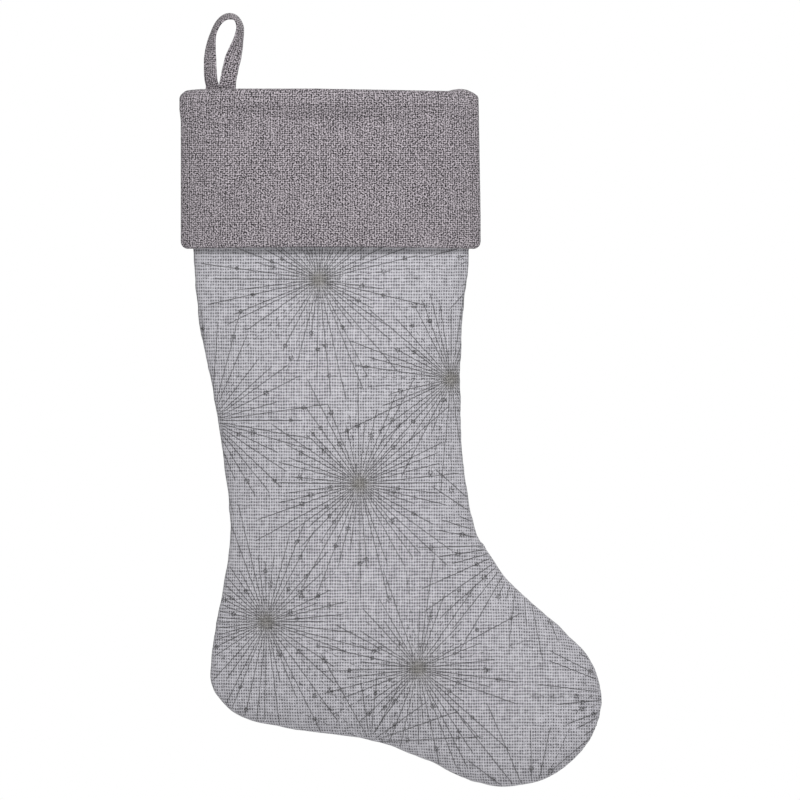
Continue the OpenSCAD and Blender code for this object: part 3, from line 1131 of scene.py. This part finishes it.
# Each light's place from the stocking's middle, its width and its share of the key's power
LIGHTS = (
    ("key_light", (0.07, -1.08, 0.98), 0.4, 1.0),
    ("fill_light", (0.06, -1.5, -0.12), 0.35, 0.26),
    ("back_light", (0.5, 1.4, 0.6), 0.9, 0.9),
)

FLOOR_HALF = 3.0
CAMERA_AWAY = 2.0
CAMERA_SHIFT = 6 * MM


class STOCKING_OT_stage(bpy.types.Operator):
    """Set the floor, the soft light and the camera."""

    bl_idname = "stocking.stage"
    bl_label = "Stage"

    def execute(self, context):
        stage = context.scene.stocking_stage
        low, high = CAD_BOX
        middle = (low + high) / 2
        self.floor(low.z - stage.drop, stage)
        self.air(context.scene, stage)
        for name, offset, width, share in LIGHTS:
            self.soft_light(name, middle + Vector(offset), middle, width, stage.key * share)
        self.camera(context.scene, middle, high.z - low.z + 2 * stage.margin)
        return {"FINISHED"}

    def floor(self, height, stage):
        mesh = bpy.data.meshes.new("floor")
        corners = [(x * FLOOR_HALF, y * FLOOR_HALF, 0) for x, y in ((-1, -1), (1, -1), (1, 1), (-1, 1))]
        mesh.from_pydata(corners, [], [(0, 1, 2, 3)])
        made = bpy.data.objects.new("floor", mesh)
        made.location.z = height
        mesh.materials.append(floor_paint(tuple(stage.floor)))
        bpy.context.collection.objects.link(made)

    def air(self, scene, stage):
        """A white backdrop to the camera, and a softer light on the cloth."""
        world = bpy.data.worlds.new("studio")
        paint = Paint(world)
        soft = paint.nodes["Background"]
        paint.plug(soft.inputs["Color"], WHITE)
        paint.plug(soft.inputs["Strength"], stage.air)
        backdrop = paint.node("ShaderNodeBackground", None, {"Color": WHITE, "Strength": 1.0})
        seen = paint.node("ShaderNodeLightPath", out="Is Camera Ray")
        both = {0: seen, 1: Wire(paint, soft.outputs[0]), 2: backdrop}
        shown = paint.node("ShaderNodeMixShader", None, both)
        paint.plug(paint.nodes["World Output"].inputs["Surface"], shown)
        scene.world = world
        scene.view_settings.view_transform = "Standard"

    def soft_light(self, name, place, aim, width, power):
        lamp = bpy.data.lights.new(name, "AREA")
        lamp.shape = "DISK"
        lamp.size = width
        lamp.energy = power
        made = bpy.data.objects.new(name, lamp)
        made.location = place
        made.rotation_euler = (aim - place).to_track_quat("-Z", "Y").to_euler()
        bpy.context.collection.objects.link(made)

    def camera(self, scene, middle, scale):
        view = bpy.data.cameras.new("camera")
        view.type = "ORTHO"
        view.ortho_scale = scale
        made = bpy.data.objects.new("camera", view)
        made.location = (middle.x + CAMERA_SHIFT, -CAMERA_AWAY, middle.z)
        made.rotation_euler = (math.radians(90), 0, 0)
        bpy.context.collection.objects.link(made)
        scene.camera = made


# ---------------------------------------------------------------- panel

class STOCKING_PT_panel(bpy.types.Panel):
    """Lists the steps that make the stocking."""

    bl_idname = "STOCKING_PT_panel"
    bl_label = "Hanging Stocking"
    bl_space_type = "VIEW_3D"
    bl_region_type = "UI"
    bl_category = "Stocking"

    def draw(self, context):
        for operator in OPERATORS:
            self.layout.operator(operator.bl_idname)


GROUPS = {
    "stocking_cloth": STOCKING_PG_cloth,
    "stocking_thread": STOCKING_PG_thread,
    "stocking_stage": STOCKING_PG_stage,
}
OPERATORS = (
    STOCKING_OT_stage, STOCKING_OT_leg, STOCKING_OT_lining, STOCKING_OT_cuff,
    STOCKING_OT_loop, STOCKING_OT_needlework, STOCKING_OT_threads,
)
CLASSES = (*GROUPS.values(), *OPERATORS, STOCKING_PT_panel)


def register():
    for cls in CLASSES:
        bpy.utils.register_class(cls)
    for name, group in GROUPS.items():
        setattr(bpy.types.Scene, name, bpy.props.PointerProperty(type=group))


def unregister():
    for name in GROUPS:
        delattr(bpy.types.Scene, name)
    for cls in reversed(CLASSES):
        bpy.utils.unregister_class(cls)


def main():
    register()
    for operator in OPERATORS:
        group, step = operator.bl_idname.split(".")
        getattr(getattr(bpy.ops, group), step)()


if __name__ == "__main__":
    main()
